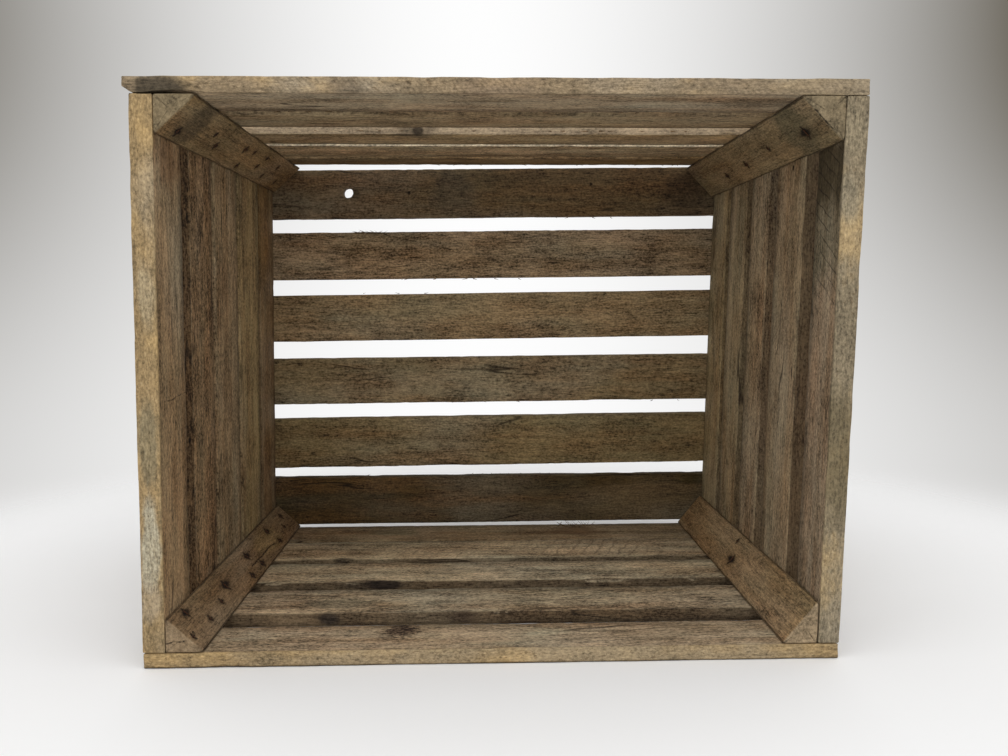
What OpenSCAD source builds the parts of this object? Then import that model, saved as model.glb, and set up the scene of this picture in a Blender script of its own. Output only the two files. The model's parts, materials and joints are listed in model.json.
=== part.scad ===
// A slatted field crate of weathered boards, lying on its long side with its mouth forward.
// X runs across the mouth, Y runs from the mouth back to the crate's floor, and Z is up.
// The origin is on the ground, under the middle of the whole crate.

/* [Crate] */
// Width over the ends of the long boards
crate_w = 464; // [360:1:640]
// Height over the top and bottom walls, as the crate lies
crate_h = 380; // [350:1:520]
// Depth of the four walls, from the rim at the mouth to the floor slats
wall_depth = 302; // [290:1:420]
// How far the racked frame carries the top wall to the right of the bottom wall
lean = 7; // [0:0.5:14]

/* [Boards] */
// Thickness of the long boards in the top and bottom walls
long_t = 10.4; // [8:0.1:14]
// Thickness of the boards in the left and right walls
side_t = 14.8; // [10:0.1:18]
// Thickness of the floor slats
slat_t = 10.4; // [8:0.1:14]
// Widths of the top wall's boards, from the mouth back
top_widths = [54, 43, 44, 52, 37]; // [30:0.5:56]
// Widths of the bottom wall's boards, from the mouth back
bottom_widths = [43.5, 50, 49, 54, 51]; // [30:0.5:56]
// Widths of the left wall's boards, from the mouth back
left_widths = [49.5, 49, 60, 61, 50]; // [30:0.5:62]
// Widths of the right wall's boards, from the mouth back
right_widths = [42.5, 57, 44, 48, 51]; // [30:0.5:60]
// Widths of the floor slats, from the top down
slat_widths = [47.7, 47, 46.4, 46.4, 50.7, 48.9]; // [36:0.1:52]

/* [Gaps] */
// Shares of the top wall's open depth: the gap behind each board
top_gaps = [11, 26, 8.5, 11.5, 15]; // [0:0.5:30]
// Shares of the bottom wall's open depth: the gap behind each board
bottom_gaps = [23.5, 17.5, 10.5, 3.5, 0]; // [0:0.5:30]
// Shares of the left wall's open depth: the gap behind each board
left_gaps = [15, 5.5, 5.5, 6, 0]; // [0:0.5:30]
// Shares of the right wall's open depth: the gap behind each board
right_gaps = [21, 16, 12.5, 9.5, 0]; // [0:0.5:30]
// Shares of the floor's open height: above the first slat, between the slats, below the last
slat_gaps = [11, 12.7, 14.3, 17.3, 14, 10.8, 12.9]; // [2:0.1:30]
// Tilt of each floor slat, in degrees, with its right end up
slat_tilts = [0.53, 0.52, 0.63, 0.43, 0.46, 0.15]; // [0:0.01:0.8]
// How far each end of a floor slat stays inside the crate's side
slat_inset = 1; // [0.5:0.5:4]

/* [Corner posts] */
// Leg along the top or bottom wall: top left, top right, bottom left, bottom right
post_legs_x = [26.5, 28.5, 25, 23.5]; // [22:0.5:36]
// Leg along the side wall: top left, top right, bottom left, bottom right
post_legs_z = [24.5, 28.5, 23, 29]; // [22:0.5:36]
// Blunt edge left on the post's two sharp corners
post_tip = 1.5; // [0.5:0.1:3]

/* [Nails] */
// Length of the wall nails over the head
wall_nail_l = 25; // [22:0.5:26]
// Length of the floor slats' nails over the head
slat_nail_l = 22; // [18:0.5:24]
// Diameter of a nail's shank
shank_d = 1.8; // [1.2:0.1:2.6]
// Length of a nail's point
point_l = 3; // [1:0.5:5]
// Diameter of a nail's head
head_d = 4.8; // [3:0.1:6]
// Thickness of a nail's head
head_t = 0.8; // [0.5:0.1:1.5]
// How deep the heads are sunk below the wood
head_sink = 0.3; // [0.1:0.1:1]
// Clearance of a nail in its hole, all round
nail_clear = 0.05; // [0.02:0.01:0.1]
// A long board's nails, from the board's own edges
long_nail_edge = 10; // [6:0.5:14]
// A side board's nails, from the board's own edges
side_nail_edge = 13; // [10:0.5:14]
// A floor slat's nails, from the slat's own edges
slat_nail_edge = 12; // [6:0.5:15]
// The long boards' nails, from the side wall's inner face
long_nail_in = 9; // [6:0.5:12]
// The side boards' nails, from the long wall's inner face
side_nail_in = 17; // [16:0.5:20]

/* [Wear] */
// How far the first top board stands out past the left wall
overhang = 3.9; // [0:0.1:6]
// Width of the corner broken off that board's left end
broken_w = 6.5; // [2:0.5:12]
// Height of that broken corner
broken_h = 4.5; // [1:0.5:7]
// Depth of the hollow worn under that board above the left post
hollow_d = 2; // [0.5:0.1:4]
// Length of that hollow across the mouth
hollow_l = 44; // [20:1:60]
// How far that hollow runs back from the rim
hollow_run = 24; // [8:1:40]
// Middle of that hollow, from the left wall's outer face
hollow_in = 28; // [24:1:60]

/* [Peg hole] */
// Diameter of the hole bored through the top floor slat
hole_d = 10; // [5:0.1:16]
// Middle of the hole, from the slat's left end
hole_in = 87; // [40:0.5:200]
// Middle of the hole, above the slat's own middle
hole_up = 1.4; // [-8:0.1:8]

/* [Hidden] */

crate_d = wall_depth + slat_t;
side_z0 = long_t;
side_z1 = crate_h - long_t;
past = 1;
round_fn = 24;

board_colour = [0.45, 0.36, 0.26];
side_colour = [0.42, 0.35, 0.27];
slat_colour = [0.27, 0.22, 0.16];
post_colour = [0.47, 0.40, 0.30];
nail_colour = [0.30, 0.20, 0.15];

// The four corners, in the order of the post lists: left or right, bottom or top
corners = [[-1, 1], [1, 1], [-1, -1], [1, -1]];
corner_names = ["post_top_left", "post_top_right", "post_bottom_left", "post_bottom_right"];

function sum(list, n) = n <= 0 ? 0 : list[n - 1] + sum(list, n - 1);
function total(list) = sum(list, len(list));

// The open room of a row of boards is shared out in the proportions of its gap list
function start_of(i, widths, gaps, room) =
    sum(widths, i) + (room - total(widths)) * sum(gaps, i) / total(gaps);
function slat_mid(i) =
    crate_h - slat_widths[i] / 2 - sum(slat_widths, i)
    - (crate_h - total(slat_widths)) * sum(slat_gaps, i + 1) / total(slat_gaps);

// Sideways shift of the racked frame at a height
function lean_at(z) =
    lean * (max(side_z0, min(side_z1, z)) - side_z0) / (side_z1 - side_z0) - lean / 2;

function two_rows(start, width, edge) = [start + edge, start + width - edge];
function wall_rows(widths, gaps, edge) = [
    for (i = [0:len(widths) - 1])
        for (y = two_rows(start_of(i, widths, gaps, wall_depth), widths[i], edge)) y
];

// Middle of a side wall's thickness at a height
function side_mid(side, z) = side * (crate_w - side_t) / 2 + lean_at(z);
// Inner corner between a side wall and the top or bottom wall
function corner_z(up) = up > 0 ? side_z1 : side_z0;
function corner_x(side, up) = side * (crate_w / 2 - side_t) + lean_at(corner_z(up));
// Height of a floor slat's nail, with the slat's tilt
function slat_nail_z(i, side, k) =
    slat_mid(i) + k * (slat_widths[i] / 2 - slat_nail_edge)
    + side * tan(slat_tilts[i]) * (crate_w - side_t) / 2;

// Everything is drawn from the mouth back, and moved here to the middle of the crate
module from_mouth() {
    translate([0, -crate_d / 2, 0])
        children();
}

// A flat shape in X and Z drawn out along the depth
module along_depth(y, run) {
    translate([0, y + run, 0])
        rotate([90, 0, 0])
            linear_extrude(run)
                children();
}

// A nail with its head at the origin, pointing up
module nail(length) {
    shank_end = length - point_l;
    translate([0, 0, head_sink])
        cylinder(h = head_t, d = head_d, $fn = round_fn);
    translate([0, 0, head_sink])
        cylinder(h = shank_end - head_sink, d = shank_d, $fn = round_fn);
    translate([0, 0, shank_end])
        cylinder(h = point_l, d1 = shank_d, d2 = shank_d / 6, $fn = round_fn);
}

// The hole that a nail fills, open past the face it was driven through
module nail_hole(length) {
    translate([0, 0, -past])
        cylinder(h = past + head_sink + head_t + nail_clear, d = head_d + 2 * nail_clear, $fn = round_fn);
    cylinder(h = length + nail_clear, d = shank_d + 2 * nail_clear, $fn = round_fn);
}

// Turned and moved to a place on the top or bottom wall, driven inwards
module at_long_wall(side, up, y) {
    x = side * (crate_w / 2 - side_t - long_nail_in) + lean_at(corner_z(up));
    translate([x, y, up > 0 ? crate_h : 0])
        rotate([up > 0 ? 180 : 0, 0, 0])
            children();
}

// The same on a side wall
module at_side_wall(side, up, y) {
    z = corner_z(up) - up * side_nail_in;
    translate([side * crate_w / 2 + lean_at(z), y, z])
        rotate([0, -side * 90, 0])
            children();
}

// The same on the back of a floor slat
module at_slat(i, side, k) {
    z = slat_nail_z(i, side, k);
    translate([side_mid(side, z), crate_d, z])
        rotate([90, 0, 0])
            children();
}

module long_board(up, i, widths, gaps, left_more = 0) {
    start = start_of(i, widths, gaps, wall_depth);
    low = up > 0 ? side_z1 : 0;
    left = -crate_w / 2 + lean_at(low + long_t / 2) - left_more;
    // The middle of the board's thickness lies past the side walls, so the shift there is the full one
    difference() {
        translate([left, start, low])
            cube([crate_w + left_more, widths[i], long_t]);
        for (side = [-1, 1])
            for (y = two_rows(start, widths[i], long_nail_edge))
                at_long_wall(side, up, y)
                    nail_hole(wall_nail_l);
    }
}

// The first top board, with its broken end and the hollow under it
module worn_top_board() {
    wall_left = -crate_w / 2 + lean / 2;
    radius = (pow(hollow_l / 2, 2) + pow(hollow_d, 2)) / (2 * hollow_d);
    difference() {
        long_board(1, 0, top_widths, top_gaps, overhang);
        along_depth(-past, top_widths[0] + 2 * past)
            polygon([
                [wall_left - overhang - past, side_z1 - past],
                [wall_left - overhang + broken_w, side_z1 - past],
                [wall_left - overhang + broken_w, side_z1],
                [wall_left - overhang, side_z1 + broken_h],
                [wall_left - overhang - past, side_z1 + broken_h]
            ]);
        translate([wall_left + hollow_in, 0, side_z1 - radius + hollow_d])
            rotate([-90, 0, 0])
                cylinder(h = hollow_run, r1 = radius, r2 = radius - hollow_d, $fn = 180);
    }
}

module side_board(side, i, widths, gaps) {
    start = start_of(i, widths, gaps, wall_depth);
    outer = side * crate_w / 2;
    inner = outer - side * side_t;
    last = i == len(widths) - 1;
    difference() {
        along_depth(start, widths[i])
            polygon([
                [outer - lean / 2, side_z0],
                [inner - lean / 2, side_z0],
                [inner + lean / 2, side_z1],
                [outer + lean / 2, side_z1]
            ]);
        for (up = [-1, 1])
            for (y = two_rows(start, widths[i], side_nail_edge))
                at_side_wall(side, up, y)
                    nail_hole(wall_nail_l);
        if (last)
            for (s = [0:len(slat_widths) - 1])
                for (k = [-1, 1])
                    at_slat(s, side, k)
                        nail_hole(slat_nail_l);
    }
}

module floor_slat(i) {
    mid = slat_mid(i);
    length = crate_w - 2 * slat_inset;
    difference() {
        translate([lean_at(mid), wall_depth, mid])
            rotate([0, -slat_tilts[i], 0])
                translate([-length / 2, 0, -slat_widths[i] / 2])
                    cube([length, slat_t, slat_widths[i]]);
        for (side = [-1, 1])
            for (k = [-1, 1])
                at_slat(i, side, k)
                    nail_hole(slat_nail_l);
        if (i == 0)
            translate([lean_at(mid), wall_depth - past, mid])
                rotate([0, -slat_tilts[i], 0])
                    translate([hole_in - length / 2, 0, hole_up])
                        rotate([-90, 0, 0])
                            cylinder(h = slat_t + 2 * past, d = hole_d, $fn = 48);
    }
}

// A three-cornered post in one corner, with its long face to the inside
module post(n) {
    side = corners[n][0];
    up = corners[n][1];
    x = corner_x(side, up);
    z = corner_z(up);
    leg_x = post_legs_x[n];
    leg_z = post_legs_z[n];
    slope = lean / (side_z1 - side_z0);
    long_widths = up > 0 ? top_widths : bottom_widths;
    long_gaps = up > 0 ? top_gaps : bottom_gaps;
    side_widths = side > 0 ? right_widths : left_widths;
    side_gaps = side > 0 ? right_gaps : left_gaps;
    difference() {
        along_depth(0, wall_depth)
            polygon([
                [x, z],
                [x - side * leg_x, z],
                [x - side * leg_x, z - up * post_tip],
                [x - up * slope * leg_z - side * post_tip, z - up * leg_z],
                [x - up * slope * leg_z, z - up * leg_z]
            ]);
        for (y = wall_rows(long_widths, long_gaps, long_nail_edge))
            at_long_wall(side, up, y)
                nail_hole(wall_nail_l);
        for (y = wall_rows(side_widths, side_gaps, side_nail_edge))
            at_side_wall(side, up, y)
                nail_hole(wall_nail_l);
    }
}

module long_wall_nails(up, widths, gaps) {
    for (side = [-1, 1])
        for (y = wall_rows(widths, gaps, long_nail_edge))
            at_long_wall(side, up, y)
                nail(wall_nail_l);
}

module side_wall_nails(side, widths, gaps) {
    for (up = [-1, 1])
        for (y = wall_rows(widths, gaps, side_nail_edge))
            at_side_wall(side, up, y)
                nail(wall_nail_l);
}

module floor_nails() {
    for (i = [0:len(slat_widths) - 1])
        for (side = [-1, 1])
            for (k = [-1, 1])
                at_slat(i, side, k)
                    nail(slat_nail_l);
}

for (n = [0:len(corners) - 1])
    from_mouth() color(post_colour) post(n);
from_mouth() color(board_colour) worn_top_board();  // top_board_1
for (i = [1:len(top_widths) - 1])
    from_mouth() color(board_colour) long_board(1, i, top_widths, top_gaps);
for (i = [0:len(bottom_widths) - 1])
    from_mouth() color(board_colour) long_board(-1, i, bottom_widths, bottom_gaps);
for (i = [0:len(left_widths) - 1])
    from_mouth() color(side_colour) side_board(-1, i, left_widths, left_gaps);
for (i = [0:len(right_widths) - 1])
    from_mouth() color(side_colour) side_board(1, i, right_widths, right_gaps);
for (i = [0:len(slat_widths) - 1])
    from_mouth() color(slat_colour) floor_slat(i);
from_mouth() color(nail_colour) long_wall_nails(1, top_widths, top_gaps);  // nails_top_wall
from_mouth() color(nail_colour) long_wall_nails(-1, bottom_widths, bottom_gaps);  // nails_bottom_wall
from_mouth() color(nail_colour) side_wall_nails(-1, left_widths, left_gaps);  // nails_left_wall
from_mouth() color(nail_colour) side_wall_nails(1, right_widths, right_gaps);  // nails_right_wall
from_mouth() color(nail_colour) floor_nails();  // nails_floor
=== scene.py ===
import json
import math

import bpy
import numpy as np
from mathutils import Matrix, Vector
from mathutils.bvhtree import BVHTree


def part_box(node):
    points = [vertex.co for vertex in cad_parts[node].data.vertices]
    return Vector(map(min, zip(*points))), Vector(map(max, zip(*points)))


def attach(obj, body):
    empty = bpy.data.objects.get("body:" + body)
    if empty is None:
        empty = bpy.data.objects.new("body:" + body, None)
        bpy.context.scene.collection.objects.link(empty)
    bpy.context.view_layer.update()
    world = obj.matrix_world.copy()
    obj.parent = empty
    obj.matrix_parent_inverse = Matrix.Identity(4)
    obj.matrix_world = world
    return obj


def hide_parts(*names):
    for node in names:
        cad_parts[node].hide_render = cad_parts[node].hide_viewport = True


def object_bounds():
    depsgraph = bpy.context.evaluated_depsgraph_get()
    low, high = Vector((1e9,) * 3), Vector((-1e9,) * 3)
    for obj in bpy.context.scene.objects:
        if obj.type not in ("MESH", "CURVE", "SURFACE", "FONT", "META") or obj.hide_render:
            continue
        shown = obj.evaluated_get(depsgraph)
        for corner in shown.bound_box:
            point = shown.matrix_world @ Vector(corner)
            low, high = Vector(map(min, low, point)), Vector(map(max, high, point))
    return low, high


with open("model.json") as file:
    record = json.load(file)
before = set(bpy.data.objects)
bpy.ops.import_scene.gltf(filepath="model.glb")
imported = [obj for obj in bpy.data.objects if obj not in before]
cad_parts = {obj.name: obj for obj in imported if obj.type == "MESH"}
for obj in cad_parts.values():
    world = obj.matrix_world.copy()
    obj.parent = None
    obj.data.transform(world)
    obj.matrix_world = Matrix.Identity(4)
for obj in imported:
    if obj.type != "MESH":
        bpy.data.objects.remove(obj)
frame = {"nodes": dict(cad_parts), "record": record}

CAD_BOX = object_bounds()
MM = 0.001
RIM_Y = CAD_BOX[0].y

# The camera, in metres and degrees, with its focal length in pixels of the 1008 pixel wide frame
EYE = Vector((-0.01185, -0.6895, 0.2444))
EYE_TURN = -1.61
EYE_TILT = -5.66
EYE_ROLL = 0.18
FOCAL_PX = 832.0
FRAME_PX = (1008.0, 756.0)
SENSOR_MM = 36.0
# Where a line of sight that misses a solid is searched for its nearest point, in metres
SEARCH_FROM = 0.4
SEARCH_STEP = 0.002
SEARCH_STEPS = 350


def eye_frame():
    turn = Matrix.Rotation(math.radians(EYE_TURN), 3, "Z")
    tilt = Matrix.Rotation(math.radians(EYE_TILT), 3, "X")
    return turn @ tilt @ Matrix.Rotation(math.radians(EYE_ROLL), 3, "Y")


def seen_at(pixel, node):
    """The point of a solid that shows at a pixel, or its nearest, and which way it faces."""
    mesh = frame["nodes"][node].data
    tree = BVHTree.FromPolygons([v.co for v in mesh.vertices], [p.vertices for p in mesh.polygons])
    across = (pixel[0] - FRAME_PX[0] / 2) / FOCAL_PX
    down = (pixel[1] - FRAME_PX[1] / 2) / FOCAL_PX
    way = (eye_frame() @ Vector((across, 1.0, -down))).normalized()
    hit, facing, _, _ = tree.ray_cast(EYE, way)
    if hit is None:
        reaches = [SEARCH_FROM + SEARCH_STEP * i for i in range(SEARCH_STEPS)]
        near = [tree.find_nearest(EYE + way * reach) for reach in reaches]
        hit, facing, _, _ = min(near, key=lambda found: found[3])
    return hit, facing


def shade(red, green, blue):
    """A colour as a screen shows it, 0 to 255, turned into the linear colour that a shader takes."""
    parts = []
    for part in (red, green, blue):
        value = part / 255.0
        parts.append(value / 12.92 if value <= 0.04045 else ((value + 0.055) / 1.055) ** 2.4)
    return (*parts, 1.0)


# Material maths


class Number:
    """A number that changes over a surface. Its operators add Math nodes."""

    def __init__(self, finish, socket):
        self.finish = finish
        self.socket = socket

    def maths(self, operation, *values):
        settings = {"operation": operation}
        return self.finish.number("ShaderNodeMath", settings, dict(enumerate(values)))

    def __add__(self, other):
        return self.maths("ADD", self, other)

    def __sub__(self, other):
        return self.maths("SUBTRACT", self, other)

    def __rsub__(self, other):
        return self.maths("SUBTRACT", other, self)

    def __mul__(self, other):
        return self.maths("MULTIPLY", self, other)

    def __truediv__(self, other):
        return self.maths("DIVIDE", self, other)

    def __pow__(self, other):
        return self.maths("POWER", self, other)

    def __abs__(self):
        return self.maths("ABSOLUTE", self)

    __radd__ = __add__
    __rmul__ = __mul__

    def ramp(self, low, high):
        """0 at low and 1 at high, with a soft step between. Low may be the larger."""
        settings = {"interpolation_type": "SMOOTHSTEP"}
        if low < high:
            return self.finish.number("ShaderNodeMapRange", settings, {0: self, 1: low, 2: high})
        return 1 - self.finish.number("ShaderNodeMapRange", settings, {0: self, 1: high, 2: low})

    def fraction(self):
        return self.maths("FRACT", self)

    def at_least(self, low):
        return self.maths("MAXIMUM", self, low)

    def at_most(self, high):
        return self.maths("MINIMUM", self, high)

    def clamp(self):
        return self.at_least(0.0).at_most(1.0)


class Finish:
    """One material, with short ways to add its nodes."""

    def __init__(self, name, roughness=0.85):
        self.material = bpy.data.materials.new(name)
        self.material.use_nodes = True
        self.tree = self.material.node_tree
        self.shader = self.tree.nodes["Principled BSDF"]
        self.shader.inputs["Roughness"].default_value = roughness
        self.shader.inputs["Specular IOR Level"].default_value = 0.2
        self.places = self.node("ShaderNodeTexCoord").outputs["Object"]

    def node(self, kind, settings=None, sockets=None):
        made = self.tree.nodes.new(kind)
        for key, value in (settings or {}).items():
            setattr(made, key, value)
        for key, value in (sockets or {}).items():
            value = getattr(value, "socket", value)
            if isinstance(value, bpy.types.NodeSocket):
                self.tree.links.new(value, made.inputs[key])
            else:
                made.inputs[key].default_value = value
        return made

    def number(self, kind, settings=None, sockets=None, output=0):
        return Number(self, self.node(kind, settings, sockets).outputs[output])

    def vector(self, operation, first, second=(0.0, 0.0, 0.0)):
        made = self.node("ShaderNodeVectorMath", {"operation": operation}, {0: first, 1: second})
        return made.outputs["Value" if operation in ("LENGTH", "DOT_PRODUCT") else "Vector"]

    def scaled(self, vector, amount):
        start = vector[:3] if isinstance(vector, tuple) else vector
        sockets = {0: start, 3: amount}
        return self.node("ShaderNodeVectorMath", {"operation": "SCALE"}, sockets).outputs[0]

    def split(self, vector):
        made = self.node("ShaderNodeSeparateXYZ", sockets={0: vector})
        return [Number(self, made.outputs[axis]) for axis in "XYZ"]

    def join(self, x, y, z):
        return self.node("ShaderNodeCombineXYZ", sockets={0: x, 1: y, 2: z}).outputs[0]

    def mottle(self, place, scale, detail=2.0, roughness=0.5):
        """Soft noise from about 0 to 1 at a place. Scale is one number or one for each axis."""
        if not isinstance(scale, (int, float)):
            place = self.vector("MULTIPLY", place, scale)
            scale = 1.0
        sockets = {"Vector": place, "Scale": scale, "Detail": detail, "Roughness": roughness}
        return self.number("ShaderNodeTexNoise", {"noise_dimensions": "3D"}, sockets)

    def mix(self, amount, first, second, blend="MIX"):
        settings = {"data_type": "RGBA", "blend_type": blend}
        made = self.node("ShaderNodeMix", settings, {0: amount, 6: first, 7: second})
        return made.outputs[2]

    def shown_rays(self):
        """1 for what the camera sees, also in a gloss or through glass, and 0 for light on things."""
        paths = self.node("ShaderNodeLightPath").outputs
        names = ("Is Camera Ray", "Is Glossy Ray", "Is Transmission Ray")
        straight, glossy, through = [Number(self, paths[name]) for name in names]
        return (straight + glossy + through).clamp()

    def attribute(self, name):
        return Number(self, self.node("ShaderNodeAttribute", {"attribute_name": name}).outputs["Fac"])

    def colour(self, value):
        self.tree.links.new(value, self.shader.inputs["Base Color"])

    def roughness(self, value):
        self.tree.links.new(value.socket, self.shader.inputs["Roughness"])

    def relief(self, height, depth, strength=1.0):
        """Bump from a height of about 0 to 1 that stands for a depth in metres."""
        sockets = {"Strength": strength, "Distance": depth, "Height": height}
        bump = self.node("ShaderNodeBump", sockets=sockets)
        self.tree.links.new(bump.outputs[0], self.shader.inputs["Normal"])


# Wood


# Tones that are laid over a piece's own, and the inks of its marks
GREY = shade(148, 140, 124)
WARM = shade(146, 108, 68)
OCHRE = shade(184, 152, 98)
BLEACHED = shade(188, 169, 134)
# The dark crack ink is also painted shade: at a wall's foot, on edges by the ground and along the posts'
# long edges
CRACK_AND_SHADE = shade(30, 22, 15)
RUST = shade(52, 32, 22)
SOOT = shade(44, 38, 28)
DIRT = shade(82, 64, 44)
SAW_BURN = shade(72, 54, 42)
# Turns a piece's length into the X axis, along which the grain is drawn out
TURN_TO_LENGTH = {"X": (0.0, 0.0, 0.0), "Y": (0.0, 0.0, -math.pi / 2), "Z": (0.0, math.pi / 2, 0.0)}


class Wood(Finish):
    """Dry, rough sawn and weathered wood. Its colour is laid down in layers, from the grain up."""

    def __init__(self, name, along, seed, tone, grey=0.25, contrast=1.0):
        super().__init__(name)
        sockets = {"Vector": self.places, "Rotation": TURN_TO_LENGTH[along]}
        sockets["Location"] = (seed * 0.731, seed * 0.377, seed * 0.519)
        self.turned = self.node("ShaderNodeMapping", sockets=sockets).outputs[0]
        self.tone = shade(*tone)
        self.end_tone = shade(*[part * 0.96 for part in tone])
        self.contrast = contrast
        self.grey = grey
        # How strong the pale arrises are: partly bleached wear, partly painted highlight
        self.arris_wear_and_highlight = 0.22
        # How strong the painted shadow lines along the long edges are
        self.edge_shadow_line = 0.0
        self.rim_mask = 0.0
        self.checked = 0.8

    def lay_grain(self):
        wander = self.mottle(self.turned, (7.0, 34.0, 34.0), 2.0) - 0.5
        sway = self.join(0.0, wander * 0.010, wander * 0.010)
        self.grain = self.vector("ADD", self.turned, sway)
        self.hairs = self.mottle(self.grain, (120.0, 1150.0, 1150.0), 2.0, 0.65)
        self.lines = self.mottle(self.grain, (26.0, 300.0, 300.0), 3.0, 0.6)
        self.bands = self.mottle(self.grain, (5.0, 80.0, 80.0), 2.0, 0.5)
        self.cloud = self.mottle(self.turned, (22.0, 40.0, 40.0), 4.0, 0.6)
        self.patch = self.mottle(self.turned, (6.0, 14.0, 14.0), 2.0, 0.5)
        self.grit = self.mottle(self.turned, (420.0, 620.0, 620.0), 2.0, 0.75)
        level = (self.hairs - 0.5) * 2.4 + (self.lines - 0.5) * 1.3 + (self.bands - 0.5) * 0.8
        level = level + (self.cloud - 0.5) * 1.5 + (self.grit - 0.5) * 2.6
        self.level = level * self.contrast
        self.look = self.tone
        self.height = self.hairs * 0.35 + self.lines * 0.55 + self.grit * 0.2

    def finish_colour(self):
        look = self.mix(self.patch.ramp(0.42, 0.66) * self.grey, self.look, GREY)
        look = self.mix((self.bands * 0.6 + self.cloud * 0.4).ramp(0.56, 0.34) * 0.3, look, WARM)
        drift = self.mottle(self.turned, (10.0, 34.0, 34.0), 3.0, 0.6) - 0.5
        hue = self.join(drift * 0.5 + 1.0, drift * 0.1 + 1.0, drift * -0.12 + 1.0)
        look = self.vector("MULTIPLY", look, hue)
        look = self.scaled(look, (self.level + 1.0).at_least(0.15))
        pores = self.mottle(self.places, 520.0, 3.0, 0.65)
        rings = self.mottle(self.places, 110.0, 3.0, 0.6)
        grain_end = self.scaled(self.end_tone, (pores - 0.5) * 2.6 + (rings - 0.5) * 2.4 + 1.0)
        return self.mix(self.attribute("end") * 0.9, look, grain_end)

    def rim(self, tone, foot=0.0, light=BLEACHED):
        """The edge that faces the mouth is bleached and stained, and can carry painted shade at its
        foot, where the wall lies on the ground.
        """
        depth = self.split(self.places)[1] + (self.cloud - 0.5) * 0.003
        mask = depth.ramp(RIM_Y + 2.6 * MM, RIM_Y + 1.4 * MM)
        blot = self.mottle(self.turned, (18.0, 34.0, 34.0), 5.0, 0.62)
        grain = self.mottle(self.grain, (230.0, 820.0, 820.0), 3.0, 0.7)
        flecks = self.mottle(self.turned, (240.0, 420.0, 420.0), 2.0, 0.6)
        face = self.mix(blot.ramp(0.48, 0.68) * 0.34, shade(*tone), OCHRE)
        face = self.mix((self.cloud * 0.3 + self.patch * 0.7).ramp(0.47, 0.6) * 0.4, face, GREY)
        face = self.mix(grain.ramp(0.56, 0.75) * 0.2, face, light)
        face = self.mix(flecks.ramp(0.6, 0.7) * 0.5, face, DIRT)
        level = (grain - 0.5) * 1.4 + (self.lines - 0.5) * 0.8 + (blot - 0.5) * 1.4
        level = level + (self.grit - 0.5) * 1.8
        face = self.scaled(face, level + 1.0)
        # Painted shade along the rim's foot, where the wall lies on the ground
        if foot:
            height = self.split(self.places)[2] + (self.cloud - 0.5) * 0.0012
            face = self.mix(height.ramp(1.7 * MM, 0.5 * MM) * foot, face, CRACK_AND_SHADE)
        self.look = self.mix(mask, self.look, face)
        self.rim_mask = mask

    def painted_edge_shade(self, axis, low, high, reaches, strength):
        """Painted shade along a board's two long edges, where the parts beside them shade them. Each
        edge has its own reach.
        """
        place = self.split(self.places)[axis] + (self.cloud - 0.5) * 0.008
        at_high = place.ramp(high - reaches[1], high - 1 * MM)
        at_low = place.ramp(low + reaches[0], low)
        self.look = self.scaled(self.look, 1 - (at_high + at_low).clamp() * strength)

    def front_edge_light_and_shade(self, factor, share, tint, ground_shade=0.0):
        """Painted light and shade on the edge that faces the mouth, past the first board: darker as
        painted shade, paler as painted light, and tinted.
        """
        facing = self.split(self.node("ShaderNodeNewGeometry").outputs["Normal"])[1] * -1
        mask = facing.ramp(0.55, 0.9)
        look = self.scaled(self.look, mask * (factor - 1.0) + 1.0)
        look = self.mix(mask * share, look, self.scaled(shade(*tint), self.level * 0.6 + 1.0))
        # Painted shade close to the ground, where the edge meets it
        if ground_shade:
            height = self.split(self.places)[2] + (self.cloud - 0.5) * 0.004
            look = self.mix(mask * height.ramp(4.6 * MM, 0.8 * MM) * ground_shade, look, CRACK_AND_SHADE)
        self.look = look

    def saw(self, way, spacing, amount, mask, ink=SOOT, width=0.3, wobble=1.6):
        """Straight saw marks at a slant, inside a mask."""
        across = tuple(Vector(way).normalized() / spacing)
        line = Number(self, self.vector("DOT_PRODUCT", self.places, across))
        line = line + self.mottle(self.places, 55.0, 1.0) * wobble
        teeth = abs(line.fraction() - 0.5).ramp(width, width * 0.2)
        mask = mask * self.cloud.ramp(0.38, 0.58) * amount
        self.look = self.mix(teeth * mask, self.look, ink)
        self.height = self.height - teeth * mask * 0.5

    def near(self, centre, radii, rough=1.0):
        """1 near a point and 0 past the radii round it, with an uneven edge."""
        off = self.vector("DIVIDE", self.vector("SUBTRACT", self.places, tuple(centre)), radii)
        spread = Number(self, self.vector("LENGTH", off))
        spread = spread + ((self.bands - 0.5) * 0.9 + (self.cloud - 0.5) * 1.3) * rough
        return spread.ramp(1.2, 0.55)

    def stain(self, centre, radii, colour, strength, rough=1.0, mask=1.0):
        grained = self.scaled(shade(*colour), self.level * 0.8 + 1.0)
        self.look = self.mix(self.near(centre, radii, rough) * mask * strength, self.look, grained)

    def split_along(self, points, width, strength=0.9):
        """A crack through a row of points."""
        sockets = {"Vector": self.places, "Scale": 260.0, "Detail": 2.0}
        noise = self.node("ShaderNodeTexNoise", sockets=sockets).outputs["Color"]
        shake = self.vector("SUBTRACT", noise, (0.5, 0.5, 0.5))
        place = self.vector("ADD", self.places, self.scaled(shake, 0.0022))
        nearest = None
        for first, last in zip(points, points[1:]):
            run = Vector(last) - Vector(first)
            off = self.vector("SUBTRACT", place, tuple(first))
            part = Number(self, self.vector("DOT_PRODUCT", off, tuple(run / run.length_squared))).clamp()
            foot = self.scaled(tuple(run), part)
            gap = Number(self, self.vector("LENGTH", self.vector("SUBTRACT", off, foot)))
            nearest = gap if nearest is None else nearest.at_most(gap)
        line = nearest.ramp(width, width * 0.3) * strength
        self.look = self.mix(line, self.look, CRACK_AND_SHADE)
        self.height = self.height - line * 1.5

    def close(self):
        look = self.look
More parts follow.
